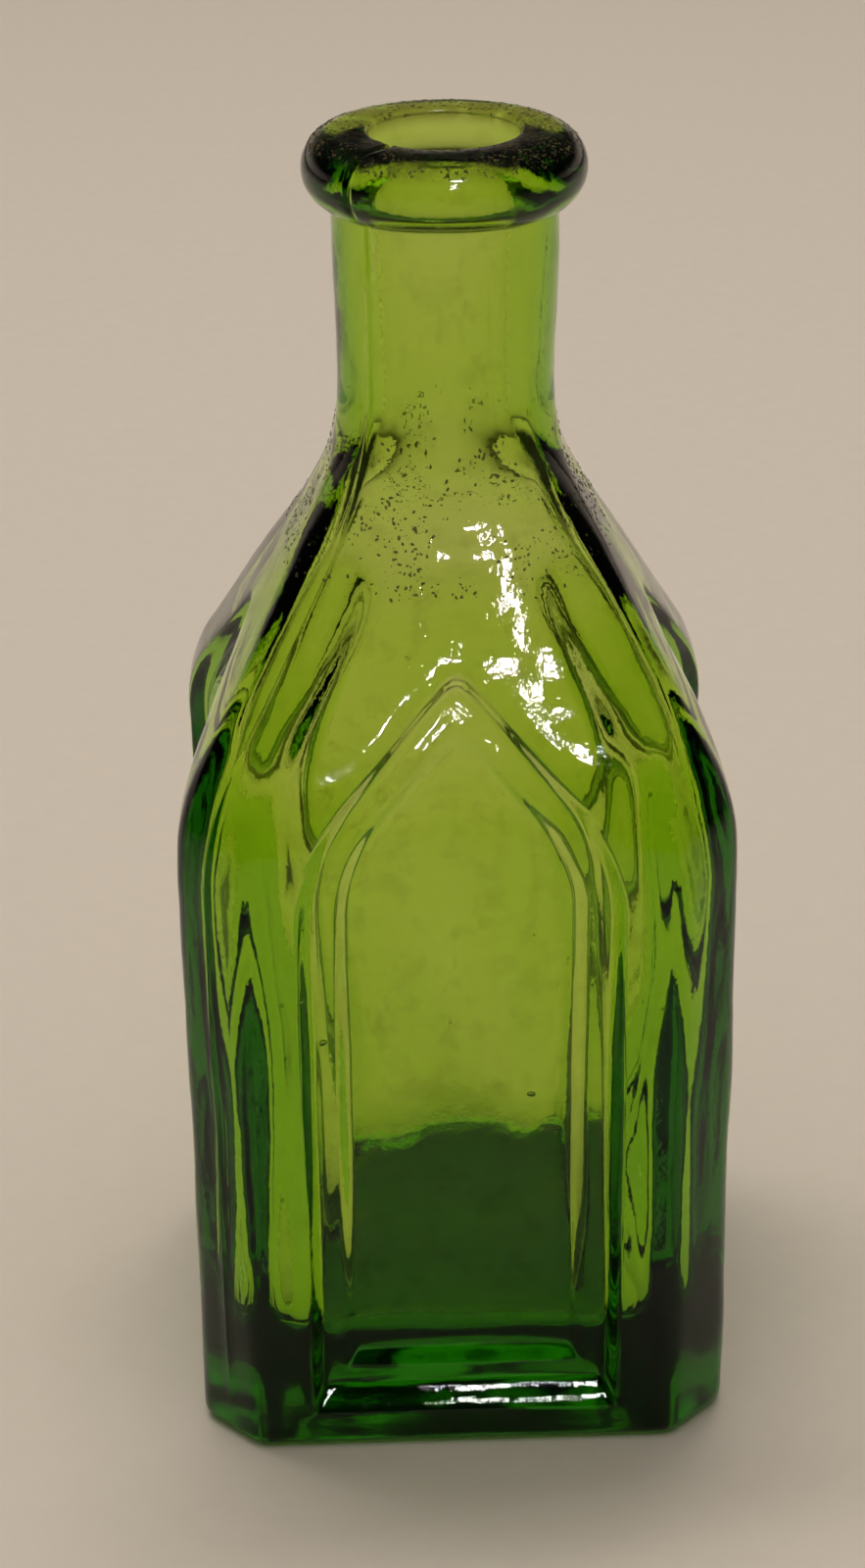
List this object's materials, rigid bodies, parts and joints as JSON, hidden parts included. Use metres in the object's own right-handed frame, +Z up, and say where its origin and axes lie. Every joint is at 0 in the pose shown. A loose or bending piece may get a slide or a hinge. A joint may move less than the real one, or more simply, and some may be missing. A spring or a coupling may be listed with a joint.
{
  "type": "tonic bottle",
  "caption": "Small square mould-blown glass bottle with cut corners, pointed-arch recessed panels on its front and flanks, a plain back, a sloping shoulder, a round neck and a ring lip; open and empty.",
  "frame": {"origin": "centre of the resting plane under the base", "axes": "+Z up along the bottle's axis to the mouth, -Y out of the front panel, +X to the right seen from the front"},
  "size_m": [0.0316, 0.0316, 0.076],
  "materials": {
    "green_glass": "clear olive-green moulded glass, glossy, faintly wavy, with small bubbles and specks"
  },
  "bodies": {
    "root": {"bottle_body": "green_glass", "lip_ring": "green_glass"}
  },
  "joints": []
}
